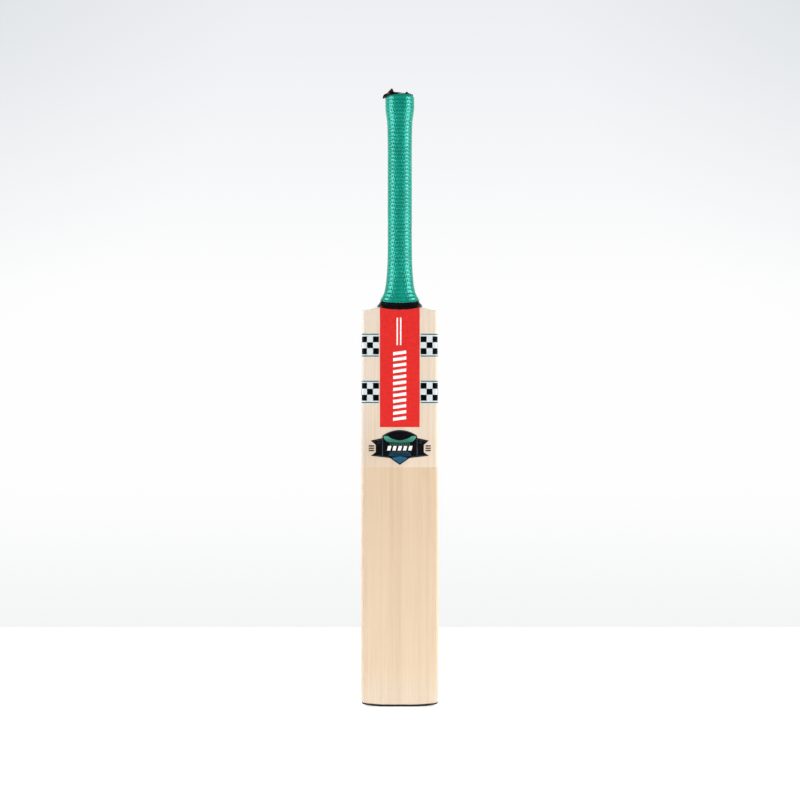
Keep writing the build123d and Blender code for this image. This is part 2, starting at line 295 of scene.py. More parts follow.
def willow():
    """Pale willow: straight grain, growth lines, fibres, a knot, a stain and a darker patch, yellower under
    the film, with painted reflected light that shifts its tone along its height.
    """
    material, tree, shader = new_material("willow", Specular_IOR_Level=0.3)
    across, depth, height = axes(tree)
    wander = span(tree, grain(tree, (9, 14, 1.7), 1.0), 0.0, 1.0, -0.0045, 0.0045)
    line = maths(tree, "ADD", maths(tree, "ADD", across, wander), maths(tree, "MULTIPLY", depth, 0.12))

    # Painted light: a veil of reflected light along the height, brighter and bluer towards the shoulders and
    # a little brighter again at the toe.
    along = ramp(tree, span(tree, height, 0.0, 0.56), [
        (0.0, (1.035, 1.05, 1.04, 1)), (0.04, (1.03, 1.03, 1.01, 1)), (0.1, (1.02, 1.01, 0.99, 1)),
        (0.6, (1.07, 1.07, 1.085, 1)), (1.0, (1.08, 1.105, 1.14, 1)),
    ])
    # Yellower tint of the wood under the film, with painted light: brighter and less yellow towards the toe,
    # from the bright floor's reflected light.
    film_tint_and_painted_light = ramp(tree, span(tree, height, FILM_BOTTOM, FILM_TOP), [
        (0.0, (1.03, 1.06, 1.08, 1)), (0.1, (1.035, 1.01, 0.965, 1)), (0.6, (0.985, 0.935, 0.865, 1)),
        (0.84, (0.95, 0.895, 0.81, 1)), (1.0, (0.955, 0.895, 0.79, 1)),
    ])
    level = maths(tree, "COMPARE", height, (FILM_BOTTOM + FILM_TOP) / 2, (FILM_TOP - FILM_BOTTOM) / 2)
    covered = maths(tree, "MULTIPLY", level, maths(tree, "LESS_THAN", depth, FILM_BACK))
    side = ramp(tree, span(tree, line, -0.054, 0.054), [
        (0.0, (0.93, 0.95, 1.03, 1)), (0.06, (1.0, 1.0, 1.01, 1)), (0.3, (0.995, 0.99, 0.985, 1)),
        (0.36, (0.965, 0.95, 0.94, 1)), (0.49, (0.968, 0.955, 0.945, 1)), (0.53, grey(1.0)),
        (0.68, (1.005, 1.01, 1.015, 1)), (0.74, (0.985, 0.98, 0.975, 1)), (0.94, grey(1.0)),
        (1.0, (0.93, 0.95, 1.03, 1)),
    ])
    shade = blend(tree, colour(223, 205, 184), along)
    shade = blend(tree, shade, film_tint_and_painted_light, covered)
    shade = blend(tree, shade, side)

    rings = add(tree, "TexNoise", {"W": line, "Scale": 150.0, "Detail": 3.0}, noise_dimensions="1D")
    shade = tint(tree, shade, rings.outputs[0], [
        (0.3, (0.965, 0.945, 0.92, 1)), (0.5, grey(1.0)), (0.72, (1.02, 1.025, 1.03, 1)),
    ])
    phase = maths(tree, "MULTIPLY", line, 2 * math.pi / GROWTH_LINE_PITCH)
    late_wood = span(tree, maths(tree, "SINE", phase), 0.93, 1.0)
    shade = tint(tree, shade, late_wood, [(0.0, grey(1.0)), (1.0, (0.955, 0.925, 0.89, 1))])
    fibres = grain(tree, (620, 620, 9), 3.0)
    shade = tint(tree, shade, fibres, [
        (0.34, (0.955, 0.94, 0.92, 1)), (0.5, grey(1.0)), (0.7, (1.018, 1.02, 1.022, 1)),
    ])
    flecks = grain(tree, (1700, 1700, 70), 1.0)
    shade = tint(tree, shade, flecks, [(0.66, grey(1.0)), (0.78, (0.93, 0.9, 0.86, 1))])

    knot = span(tree, distance_from(tree, (0.036, -0.026, 0.321)), 0.001, 0.011)
    shade = tint(tree, shade, knot, [(0.0, (0.955, 0.93, 0.895, 1)), (1.0, grey(1.0))])
    # Darker patch at the left edge, just above the film.
    patch = span(tree, distance_from(tree, (-0.052, -0.028, 0.345)), 0.012, 0.075)
    patch = maths(tree, "MAXIMUM", patch, covered)
    shade = tint(tree, shade, patch, [(0.0, (0.91, 0.89, 0.84, 1)), (1.0, grey(1.0))])
    stain_across = span(tree, maths(tree, "ABSOLUTE", maths(tree, "ADD", across, 0.047)), 0.0015, 0.0045)
    stain = maths(tree, "MAXIMUM", stain_across, span(tree, height, 0.03, 0.13))
    shade = tint(tree, shade, stain, [(0.0, (1.0, 0.955, 0.925, 1)), (1.0, grey(1.0))])
    feed(tree, shader, Base_Color=shade, Roughness=span(tree, fibres, 0.3, 0.7, 0.5, 0.38))
    relief(tree, shader, maths(tree, "ADD", fibres, maths(tree, "MULTIPLY", late_wood, 0.5)), 0.03, 0.5)
    return material


def cane_wood():
    """Split cane: honey-coloured strips with dark pores in lines along the handle."""
    material, tree, shader = new_material("cane", Specular_IOR_Level=0.4)
    fibres = grain(tree, (900, 900, 12), 4.0)
    shade = ramp(tree, fibres, [
        (0.3, colour(168, 126, 74)), (0.5, colour(206, 168, 112)), (0.72, colour(226, 194, 144)),
    ])
    pores = grain(tree, (2600, 2600, 60), 1.0)
    shade = tint(tree, shade, pores, [(0.6, grey(1.0)), (0.72, (0.6, 0.5, 0.4, 1))])
    broad = grain(tree, (90, 90, 6), 2.0)
    shade = tint(tree, shade, broad, [(0.35, (0.9, 0.87, 0.82, 1)), (0.65, grey(1.0))])
    feed(tree, shader, Base_Color=shade, Roughness=span(tree, fibres, 0.3, 0.7, 0.6, 0.42))
    relief(tree, shader, maths(tree, "SUBTRACT", fibres, maths(tree, "MULTIPLY", pores, 0.6)), 0.08, 0.7)
    return material


def two_tones(tree, factor, dark, light, high=0.7):
    return ramp(tree, factor, [(0.3, colour(*dark)), (high, colour(*light))])


def rubber(name, dark, light, speckle_scale, roughness, depth_mm):
    """Moulded rubber: faint mottling, uneven sheen and a fine grain."""
    material, tree, shader = new_material(name)
    mottle = grain(tree, (speckle_scale,) * 3, 4.0)
    rough = span(tree, mottle, 0.3, 0.7, roughness + 0.08, roughness - 0.06)
    feed(tree, shader, Base_Color=two_tones(tree, mottle, dark, light), Roughness=rough)
    relief(tree, shader, grain(tree, (speckle_scale * 6,) * 3, 2.0), depth_mm, 0.6)
    return material


def waxed_twine():
    """Linen thread, spun and waxed: its strands slant across each turn."""
    material, tree, shader = new_material("twine", Roughness=0.62)
    strands = add(tree, "TexWave", {
        "Vector": position(tree), "Scale": 900.0, "Distortion": 1.5, "Detail": 2.0,
    }, bands_direction="DIAGONAL").outputs[0]
    shade = ramp(tree, strands, [(0.0, colour(150, 128, 92)), (1.0, colour(214, 198, 162))])
    shade = tint(tree, shade, grain(tree, (240, 240, 240)), [
        (0.35, (0.88, 0.86, 0.8, 1)), (0.65, grey(1.0)),
    ])
    feed(tree, shader, Base_Color=shade)
    relief(tree, shader, strands, 0.12, 0.8)
    return material


def grip_rubber():
    """Teal rubber with a soft shine, mottled from handling, with painted shade that makes its hollows a
    little darker.
    """
    material, tree, shader = new_material(
        "grip_rubber", Specular_IOR_Level=1.0, Specular_Tint=(0.27, 1.0, 0.92, 1),
    )
    mottle = grain(tree, (130, 130, 60), 4.0)
    shade = ramp(tree, mottle, [
        (0.3, colour(1, 129, 108)), (0.55, colour(4, 142, 121)), (0.75, colour(12, 154, 133)),
    ])
    hollows = add(tree, "Attribute", attribute_name="hollow").outputs["Fac"]
    # Painted shade: the colour darkens with the depth of each hollow.
    shade = tint(tree, shade, hollows, [(0.0, grey(1.0)), (1.0, (0.85, 0.93, 0.92, 1))])
    feed(tree, shader, Base_Color=shade, Roughness=span(tree, mottle, 0.3, 0.7, 0.26, 0.2))
    relief(tree, shader, grain(tree, (2600, 2600, 2600), 2.0), 0.02, 0.4)
    return material


def stretched_tape(name, dark, light, roughness):
    """Glossy plastic tape with fine stretch lines and scuffs."""
    material, tree, shader = new_material(name, Specular_IOR_Level=0.17)
    lines = grain(tree, (90, 90, 900), 3.0)
    scuffs = grain(tree, (300, 300, 300), 4.0)
    rough = span(tree, scuffs, 0.3, 0.7, roughness, roughness + 0.16)
    feed(tree, shader, Base_Color=two_tones(tree, lines, dark, light, 0.75), Roughness=rough)
    relief(tree, shader, maths(tree, "ADD", lines, scuffs), 0.05, 0.5)
    return material


def printed_vinyl(name, dark, light, scale, roughness=0.33, height_stops=None, gloss=0.22):
    """Printed sticker: nearly even ink with a fine mottle, an uneven gloss and an orange-peel surface."""
    material, tree, shader = new_material(name, Specular_IOR_Level=gloss)
    mottle = grain(tree, (scale,) * 3, 3.0)
    shade = two_tones(tree, mottle, dark, light)
    if height_stops:
        low, high, shades = height_stops
        height = axes(tree)[2]
        shade = tint(tree, shade, span(tree, height, low * MM, high * MM), shades)
    peel = grain(tree, (1400, 1400, 1400), 2.0)
    rough = span(tree, peel, 0.3, 0.7, roughness - 0.04, roughness + 0.06)
    feed(tree, shader, Base_Color=shade, Roughness=rough)
    relief(tree, shader, peel, 0.015, 0.5)
    return material


def clear_film():
    """Thin protective film, slightly yellow, with faint ripples that the gloss shows."""
    material, tree, shader = new_material("clear_film", Alpha=0.025, Specular_IOR_Level=0.5)
    mottle = grain(tree, (60, 60, 14), 3.0)
    shade = ramp(tree, mottle, [(0.35, colour(226, 196, 148)), (0.65, colour(236, 208, 162))])
    feed(tree, shader, Base_Color=shade, Roughness=span(tree, mottle, 0.3, 0.7, 0.2, 0.32))
    relief(tree, shader, grain(tree, (45, 45, 20), 2.0), 0.08, 0.4)
    return material


willow_material = willow()
cane_material = cane_wood()
spring_material = rubber("spring_rubber", (30, 27, 25), (52, 46, 42), 420, 0.62, 0.04)
toe_material = rubber("toe_rubber", (3, 3, 3), (11, 10, 10), 260, 0.6, 0.05)
twine_material = waxed_twine()
grip_material = grip_rubber()
tape_material = stretched_tape("black_tape", (4, 3, 5), (10, 8, 11), 0.2)
liner_material = stretched_tape("tape_liner", (44, 0, 6), (78, 3, 14), 0.4)
film_material = clear_film()
red_material = printed_vinyl("red_vinyl", (217, 41, 38), (227, 48, 44), 220)
pale_ink = printed_vinyl("pale_ink", (240, 236, 232), (252, 250, 248), 260)
check_ground = printed_vinyl("check_ground", (209, 216, 218), (218, 224, 226), 240)
check_ink = printed_vinyl("check_ink", (1, 5, 4), (4, 10, 9), 300, 0.3, gloss=0.05)
line_ink = printed_vinyl("line_ink", (10, 72, 48), (22, 90, 64), 300)
badge_material = printed_vinyl("badge_vinyl", (8, 7, 10), (14, 14, 18), 260, 0.3, gloss=0.1)
teal_ink = printed_vinyl("teal_ink", (78, 160, 136), (96, 178, 152), 260, 0.3, (
    364.0, 376.0, [(0.15, (0.3, 0.4, 0.42, 1)), (0.5, (0.5, 0.62, 0.64, 1)), (0.8, grey(1.0))],
))
blue_ink = printed_vinyl("blue_ink", (26, 88, 118), (40, 106, 138), 260, 0.3, (
    336.0, 352.0, [(0.0, (0.7, 0.66, 0.8, 1)), (0.6, grey(1.0)), (1.0, (0.6, 0.75, 0.72, 1))],
))
slate_ink = printed_vinyl("slate_ink", (40, 62, 70), (54, 78, 86), 260)
mark_material = printed_vinyl("mark_ink", (48, 36, 30), (64, 50, 42), 320)

node_looks = {
    "blade": willow_material, "toe_guard": toe_material, "face_panel": red_material, "badge": badge_material,
    "side_mark": mark_material, "check_band": check_ground, "cane": cane_material, "spring": spring_material,
}
for node_name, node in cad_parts.items():
    for start, look in node_looks.items():
        if node_name.startswith(start):
            for holder in node.material_slots:
                holder.material = look

# ---- ink on the stickers ----

INK_LIFT = 0.05              # outer side of the ink over its sticker
INK_THICKNESS = 0.07


def ink(name, outlines, tree, material, cell=5.0):
    """Thin print over a sticker: flat (x, z) outlines, cut into cells and laid on the surface in front."""
    work = bmesh.new()
    for outline in outlines:
        work.faces.new([work.verts.new((x, 0, z)) for x, z in outline])
    bmesh.ops.triangulate(work, faces=work.faces[:])
    for axis in (0, 2):
        places = [v.co[axis] for v in work.verts]
        cut = math.ceil(min(places) / cell) * cell
        while cut < max(places):
            point, normal = Vector((0, 0, 0)), Vector((0, 0, 0))
            point[axis], normal[axis] = cut, 1
            everything = work.verts[:] + work.edges[:] + work.faces[:]
            bmesh.ops.bisect_plane(work, geom=everything, dist=1e-5, plane_co=point, plane_no=normal)
            cut += cell
    for vert in work.verts:
        found = level_hit(tree, vert.co.x, vert.co.z)
        if found is None:
            near, _, _, _ = tree.find_nearest(Vector((vert.co.x, -27, vert.co.z)) * MM)
            vert.co.y = near.y / MM - INK_LIFT
        else:
            vert.co.y = found[0].y - INK_LIFT
    front = work.faces[:]
    rim = [edge for edge in work.edges if len(edge.link_faces) == 1]
    back = Vector((0, INK_THICKNESS, 0))
    twins = {vert: work.verts.new(vert.co + back) for vert in work.verts[:]}
    for face in front:
        work.faces.new([twins[v] for v in reversed(face.verts)])
    for edge in rim:
        first, second = edge.verts
        work.faces.new((first, second, twins[second], twins[first]))
    for vert in work.verts:
        vert.co *= MM
    mesh = bpy.data.meshes.new(name)
    work.to_mesh(mesh)
    work.free()
    return finish_mesh(name, mesh, material)


def box_outline(low_x, high_x, low_z, high_z, slant=0.0):
    """Rectangle, or a bar whose right end is raised by slant."""
    return [(low_x, low_z), (high_x, low_z + slant), (high_x, high_z + slant), (low_x, high_z)]


def mirrored(outline):
    return [(-x, z) for x, z in reversed(outline)]


def arc_points(centre_z, radius, start_x, end_x, count, up=1):
    """Points of a circle's upper or lower side between two places across."""
    places = [lerp(start_x, end_x, i / (count - 1)) for i in range(count)]
    return [(x, centre_z + up * math.sqrt(radius * radius - x * x)) for x in places]


def badge_ink(name, outlines, material, cell=5.0):
    ink("badge_" + name, outlines, badge_surface, material, cell)


def dash_row(count, low, high):
    """Level row of short dashes, centred on the badge."""
    places = [2.6 * (i - (count - 1) / 2) for i in range(count)]
    return [box_outline(x - 0.55, x + 0.55, low, high) for x in places]


BAR_COUNT = 12               # slanted bars, one above the other
BAR_BOTTOM = 395.6
BAR_PITCH = 8.25
BAR_HEIGHT = 4.4
BAR_SLANT = 2.6

panel_surface = target("face_panel")
bars = []
for index in range(BAR_COUNT):
    low = BAR_BOTTOM + index * BAR_PITCH
    bars.append(box_outline(-9.2, 8.8, low, low + BAR_HEIGHT, BAR_SLANT))
ink("panel_bars", bars, panel_surface, pale_ink)
ink("panel_lines", [
    box_outline(-4.4, -2.6, 500.5, 539.0), box_outline(0.4, 2.2, 500.5, 539.0),
], panel_surface, pale_ink)

badge_surface = target("badge")
crescent = [(-22.6, 373.4), (-21.2, 370.2), (-17.6, 367.0), (-12.4, 365.8), (0.0, 365.2)]
crescent += mirrored(crescent[:-1])
crescent += [(20.8, 374.8)] + arc_points(394.9, 26.2, 16.6, -16.6, 11, -1) + [(-20.8, 374.8)]
badge_ink("crescent", [crescent], teal_ink, 3.0)
rim_outer = arc_points(343.4, 38.9, -22.6, 22.6, 17)
rim_inner = arc_points(343.4, 38.3, 22.2, -22.2, 17)
badge_ink("rim_line", [rim_outer + rim_inner], slate_ink, 3.0)
blocks = []
for index in range(5):
    low = -17.6 + index * 7.3
    blocks.append([(low, 354.6), (low + 4.5, 354.6), (low + 6.0, 361.0), (low + 1.5, 361.0)])
badge_ink("blocks", blocks, pale_ink)
point = [(-10.6, 344.6), (-9.0, 343.0), (0.0, 336.6), (9.0, 343.0), (10.6, 344.6), (0.0, 346.2)]
badge_ink("point", [point], blue_ink, 3.0)
facets = []
for index in range(4):
    low = 347.3 + index * 1.5
    half = 15.5 - index * 0.4
    lower = [(-half, low), (0, low - 0.9), (half, low)]
    facets.append(lower + [(half, low + 0.5), (0, low - 0.4), (-half, low + 0.5)])
badge_ink("chevrons", facets, blue_ink, 3.0)
folds = []
for outline in (
    [(22.8, 370.6), (36.6, 367.6), (36.2, 367.0), (22.8, 369.9)],
    [(16.0, 346.2), (36.4, 348.4), (36.8, 347.8), (16.0, 345.5)],
    [(23.6, 369.4), (24.3, 369.2), (24.3, 347.4), (23.6, 347.3)],
    [(27.2, 366.0), (31.0, 365.2), (31.0, 364.6), (27.2, 365.3)],
):
    folds += [outline, mirrored(outline)]
badge_ink("folds", folds, slate_ink)
badge_ink("dashes_upper", dash_row(11, 361.8, 364.6), teal_ink)
badge_ink("dashes_lower", dash_row(9, 351.6, 353.8), slate_ink)

# ---- check bands ----

CHECK_START = 28.9           # distance of the first column from the middle
CHECK_WIDTH = 8.27
CHECK_LIFT = 0.04
CHECK_DEPTH = 0.06


def band_track(tree, side, height):
    """Level line over a band, from the face round the edge to the back, as (length, place, normal) rows."""
    track = []
    middle = Vector((side * 30.0, -12.0, height))
    steps = 259
    for step in range(steps + 1):
        angle = math.radians(lerp(-104, 104, step / steps))
        away = Vector((side * math.cos(angle), math.sin(angle), 0))
        found = cast(tree, middle + away * 90, -away, 90)
        if found is None:
            continue
        if track:
            length = track[-1][0] + (found[0] - track[-1][1]).length
        else:
            length = abs(found[0].x) - CHECK_START
        track.append((length, *found))
    return track


def on_track(track, length, lift):
    """Place at a length along a level line, lifted off the surface."""
    for first, second in zip(track, track[1:]):
        if second[0] >= length:
            break
    share = min(1.0, max(0.0, (length - first[0]) / max(1e-6, second[0] - first[0])))
    place = first[1].lerp(second[1], share)
    return place + first[2].lerp(second[2], share).normalized() * lift


def wrapped_patch(tracks, start, end):
    """Closed thin patch between two lengths along the level lines of tracks."""
    steps = max(2, math.ceil((end - start) / 1.1))
    lengths = [lerp(start, end, i / steps) for i in range(steps + 1)]
    outer = [[on_track(track, s, CHECK_LIFT) for s in lengths] for track in tracks]
    inner = [[on_track(track, s, CHECK_LIFT - CHECK_DEPTH) for s in lengths] for track in tracks]
    return skin(outer, inner)


def print_end(tracks):
    """Length at which the print stops, just short of the back end of its level lines."""
    return min(track[-1][0] for track in tracks) - 0.4


def add_patches(name, patches, material):
    verts, faces = [], []
    for patch_verts, patch_faces in patches:
        base = len(verts)
        verts += patch_verts
        faces += [[base + i for i in face] for face in patch_faces]
    return add_mesh(name, verts, faces, material, "check_sticker")


def check_band(name, side, row_edges, line_heights):
    """Print of one band: three rows of checks between two green lines."""
    tree = target("check_band_" + name)
    squares, lines = [], []
    for row in range(3):
        low, high = row_edges[row], row_edges[row + 1]
        tracks = [band_track(tree, side, lerp(low, high, i / 4)) for i in range(5)]
        end = print_end(tracks)
        column = row % 2
        while column * CHECK_WIDTH < end - 1:
            start = column * CHECK_WIDTH
            squares.append(wrapped_patch(tracks, start, min(start + CHECK_WIDTH, end)))
            column += 2
    for height in line_heights:
        tracks = [band_track(tree, side, height + offset) for offset in (-0.75, 0, 0.75)]
        lines.append(wrapped_patch(tracks, 0.2, print_end(tracks)))
    add_patches("check_squares_" + name, squares, check_ink)
    add_patches("check_lines_" + name, lines, line_ink)


for side, side_name in ((-1, "left"), (1, "right")):
    check_band("upper_" + side_name, side, (487.9, 496.4, 504.6, 512.7), (485.5, 515.6))
    check_band("lower_" + side_name, side, (423.6, 431.9, 440.2, 448.4), (421.1, 450.6))

# ---- protective film ----

FILM_COLUMNS = 32            # across the flat of the face
FILM_ROWS = 60
FILM_MARGIN = 0.05           # how far it stays inside the CAD film's ends
FILM_THICKNESS = 0.14


def film_row(tree, height):
    """Level line over the film, from one edge of the blade across the face to the other edge."""
    row = []
    centre_x, centre_y = 48.0, -23.1
    angles = [math.radians(a) for a in (2, 12, 24, 36, 48, 60, 72, 82)]
    for angle in angles:
        away = Vector((-math.cos(angle), -math.sin(angle), 0))
        row.append(cast(tree, Vector((-centre_x, centre_y, height)) + away * 40, -away, 60))
    for step in range(FILM_COLUMNS + 1):
        x = lerp(-centre_x, centre_x, step / FILM_COLUMNS)
        row.append(level_hit(tree, x, height))
    for angle in reversed(angles):
        away = Vector((math.cos(angle), -math.sin(angle), 0))
        row.append(cast(tree, Vector((centre_x, centre_y, height)) + away * 40, -away, 60))
    return row


def face_film():
    """Film over the face and round its edges, from just above the toe to below the badge."""
    tree = target("face_film")
    low, high = (corner.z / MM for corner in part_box("face_film"))
    outer, inner = [], []
    for step in range(FILM_ROWS + 1):
        row = film_row(tree, lerp(low + FILM_MARGIN, high - FILM_MARGIN, step / FILM_ROWS))
        outer.append([place for place, _ in row])
        inner.append([place - normal * FILM_THICKNESS for place, normal in row])
    made = add_mesh("face_film_skin", *skin(outer, inner), film_material, "clear_film")
    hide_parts("face_film")


face_film()

# ---- lip of the toe guard ----

TOE_LIP_HALF = 50.5
TOE_LIP_MIDDLE = -12.0       # where the guard's underside is measured
TOE_LIP_RISE = 3.1           # from the underside of the guard to the upper edge of its lip
TOE_LIP_PROUD = 0.22
TOE_LIP_SINK = 0.15          # how far its inner side lies under the surface
TOE_LIP_TAPER = 15.0         # length at each end over which it gets lower


def toe_lip(name, side):
    """Thin bead of rubber that laps from the toe guard on to the wood. side is -1 in front and 1 behind."""
    tree = target("blade", "toe_guard")
    columns, rows = 80, 6
    outer, inner = [[] for _ in range(rows + 1)], [[] for _ in range(rows + 1)]
    ends = TOE_LIP_HALF + 1.0
    for column in range(columns + 1):
        across = lerp(-TOE_LIP_HALF, TOE_LIP_HALF, column / columns)
        under = cast(tree, (across, TOE_LIP_MIDDLE, -RAY_START), (0, 0, 1), RAY_REACH)[0].z
        ragged = 0.12 * wobble(across * 0.2, side * 3.0, 0)
        full = smoothstep(ends, ends - TOE_LIP_TAPER, abs(across))
        for row in range(rows + 1):
            share = row / rows
            height = under + lerp(0.25, TOE_LIP_RISE - 0.9 * (1 - full) + ragged, share)
            place, normal = level_hit(tree, across, height, side)
            proud = TOE_LIP_PROUD * math.sin(math.pi * lerp(0.12, 0.9, share))
            outer[row].append(place + normal * proud)
            inner[row].append(place - normal * TOE_LIP_SINK)
    add_mesh(name, *skin(outer, inner), toe_material, "toe_rubber")


toe_lip("toe_guard_lip_front", -1)
toe_lip("toe_guard_lip_back", 1)

# ---- grip ----

GRIP_TOP = 849.2
GRIP_RIM_START = 844.2
GRIP_RIM_RADIUS = 5.0
GRIP_WALL = 1.9
GRIP_EDGE_SIDE = 564.6       # the lower edge dips from the sides to the middle of the face
GRIP_EDGE_DIP = 5.4
GRIP_EDGE_HALF = 29.0
GRIP_DOTS = 30               # hollows in each row round the handle
GRIP_ROWS = 55
GRIP_ROW_PITCH = (GRIP_RIM_START - GRIP_EDGE_SIDE) / GRIP_ROWS
HOLLOW_RADIUS = 1.31         # half width of a hollow at its rim
HOLLOW_FLOOR = 0.28          # and at its floor
HOLLOW_DEPTH = 0.66
HOLLOW_REACH = 0.28          # in rows, from the middle of a hollow to where its row of hollows ends
BAND_HEIGHT = 0.2            # swell of the band between two rows of hollows
FRONT_LIMIT = 19.3           # distance from the handle's axis to the flat shoulders, grown by the grip
BACK_LIMIT = 19.8

# Half width and half depth of the grip at heights where the shoulders' flare is steep.
flare_half_width = [(553.0, 45.0), (556.0, 38.5), (558.0, 34.4), (560.0, 31.2), (563.0, 28.0), (567.0, 25.3),
                    (571.0, 23.1), (575.0, 21.5), (584.0, 19.7), (592.0, 18.8), (600.0, 18.1), (608.0, 17.65)]
flare_half_depth = [(553.0, 25.0), (556.0, 22.4), (558.0, 21.1), (560.0, 20.1), (563.0, 19.3), (567.0, 18.8),
                    (575.0, 18.4), (584.0, 18.0), (592.0, 17.75), (600.0, 17.5), (608.0, 17.3)]
shaft_radius = [(620.0, 17.1), (640.0, 16.87), (680.0, 16.85), (766.0, 16.85), (780.0, 16.9), (796.0, 17.12),
                (808.0, 17.55), (816.0, 18.3), (824.0, 19.5), (830.0, 20.1), (836.0, 20.2), (845.0, 20.2)]
half_width_table = flare_half_width + shaft_radius
half_depth_table = flare_half_depth + shaft_radius


def handle_radius(angle, height, inset=0.0):
    """Distance from the handle's axis to the grip's mean surface, or to a layer inset under it."""
    half_width = smooth_table(half_width_table, height) - inset
    half_depth = smooth_table(half_depth_table, height) - inset
    across, away = math.cos(angle), math.sin(angle)
    oval = half_width * half_depth / math.hypot(half_depth * across, half_width * away)
    limit = (FRONT_LIMIT if away < 0 else BACK_LIMIT) - inset
    flat = limit / max(abs(away), 0.05)
    return (oval ** -40 + flat ** -40) ** (-1 / 40)


def edge_dip(across):
    """How far the grip's lower edge lies below its height at the sides."""
    share = min(1.0, abs(across) / GRIP_EDGE_HALF)
    return GRIP_EDGE_DIP * math.sqrt(1 - share * share)


def grip_height(angle, row):
    """Height of a row of the grip; the lowest rows follow the dipping edge."""
    level = GRIP_EDGE_SIDE + row * GRIP_ROW_PITCH
    share = 1 - smoothstep(0, 11, row)
    if share <= 0:
        return level
    height = level
    for _ in range(4):
        across = handle_radius(angle, height) * math.cos(angle)
        height = level - edge_dip(across) * share
    return height


def hollow_at(column, row, girth):
    """1 on the floor of a hollow with four sloping sides, 0 outside; column and row count from its centre."""
    across = abs(column) * girth / GRIP_DOTS
    up = abs(row) * GRIP_ROW_PITCH
    distance = (across ** 5 + up ** 5) ** 0.2
    share = (distance - HOLLOW_FLOOR) / (HOLLOW_RADIUS - HOLLOW_FLOOR)
    return 1 - min(1.0, max(0.0, share))


def grip():
    """Rubber sleeve: rounded bands run round it, with a row of small hollows between each two bands."""
    column_offsets = (-0.4, -0.34, -0.08, 0.08, 0.34, 0.4)
    row_offsets = (-0.39, -HOLLOW_REACH, -0.235, -0.055, 0.055, 0.235, HOLLOW_REACH, 0.39, 0.5)
    # Each row: its place, its distance from the hollows' centres, and how far it is turned in columns.
    # The hollows of a row lie half a column further round than those of the row below.
    rows = [(0.0, 0.5, -0.25), (0.05, 0.5, -0.25)]
    for index in range(GRIP_ROWS):
        for offset in row_offsets:
            beyond = max(0.0, abs(offset) - HOLLOW_REACH) / (0.5 - HOLLOW_REACH)
            turn = 0.5 * index + math.copysign(0.25 * beyond, offset)
            rows.append((index + 0.5 + offset, offset, turn))
    last_turn = rows[-1][2]
    columns = [(index + offset, offset) for index in range(GRIP_DOTS) for offset in column_offsets]
    outer, inner, hollows = [], [], []
    for number, (row, from_hollow, turn) in enumerate(rows):
        outer_row, inner_row, hollow_row = [], [], []
        for column, from_dot in columns:
            angle = 2 * math.pi * (column + turn) / GRIP_DOTS
            height = grip_height(angle, row)
            radius = handle_radius(angle, height)
            worn = wobble(math.cos(angle) * 1.4, math.sin(angle) * 1.4, height * 0.035)
            depth = hollow_at(from_dot, from_hollow, 2 * math.pi * radius) * (1 + 0.2 * worn)
            band = -math.cos(2 * math.pi * from_hollow) * BAND_HEIGHT * (1 + 0.3 * worn)
            edge = 1.0 if number > 1 else 0.6 * number
            swell = radius + 0.1 * worn + (band - HOLLOW_DEPTH * depth) * edge - 0.3 * (1 - edge)
            outer_row.append(around(swell, angle, height))
            inner_row.append(around(radius - GRIP_WALL, angle, height))
            hollow_row.append(depth)
        outer.append(outer_row)
        inner.append(inner_row)
        hollows += hollow_row
    collar = smooth_table(half_width_table, GRIP_RIM_START)
    rim = [(collar - GRIP_RIM_RADIUS * (1 - math.cos(a)), GRIP_RIM_START + GRIP_RIM_RADIUS * math.sin(a))
           for a in (math.radians(10 * step) for step in range(1, 10))]
    rim += [(14.0, GRIP_TOP + 0.05), (12.4, GRIP_TOP), (11.4, GRIP_TOP - 0.25), (11.0, GRIP_TOP - 0.7),
            (11.0, 847.4), (11.4, 847.05), (16.2, 847.0)]
    for radius, height in rim:
        row = []
        for column, _ in columns:
            angle = 2 * math.pi * (column + last_turn) / GRIP_DOTS
            wave = 0.12 * wobble(math.cos(angle) * 2, math.sin(angle) * 2, 9.0)
            row.append(around(radius, angle, height + wave))
        outer.append(row)
        hollows += [0.0] * len(row)
    verts = [p for row in outer for p in row]
    count = len(columns)
    faces = ring_faces(0, count, len(outer))
    # The inner wall needs no relief, so it takes one row for every two rows of hollows.
    chosen = inner[:1] + inner[1 + len(row_offsets)::2 * len(row_offsets)]
    base = len(verts)
    verts += [p for row in chosen for p in row]
    hollows += [0.0] * (len(verts) - base)
    faces += ring_faces(base, count, len(chosen))
    top_outer = (len(outer) - 1) * count
    top_inner = base + (len(chosen) - 1) * count
    for column in range(count):
        after = (column + 1) % count
        faces.append([column, base + column, base + after, after])
        faces.append([top_outer + column, top_outer + after, top_inner + after, top_inner + column])
    made = add_mesh("grip_sleeve", verts, faces, grip_material, "grip_rubber")
    # Depth of the hollows, kept for the rubber's painted shade.
    layer = made.data.attributes.new("hollow", "FLOAT", "POINT")
    layer.data.foreach_set("value", hollows)
    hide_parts("grip")


grip()

# ---- twine ----

TWINE_BOTTOM = 566.6
TWINE_TOP = 846.4
TWINE_RADIUS = 0.4
TWINE_PITCH = 0.88
TWINE_INSET = 2.0 + TWINE_RADIUS   # from the grip's mean surface to the middle of the thread
COLLAR_START = 766           # the grip thickens from here up, and the handle under it only a little
COLLAR_FULL = 830
TWINE_STEPS = 26             # places in each turn
TWINE_SIDES = 5


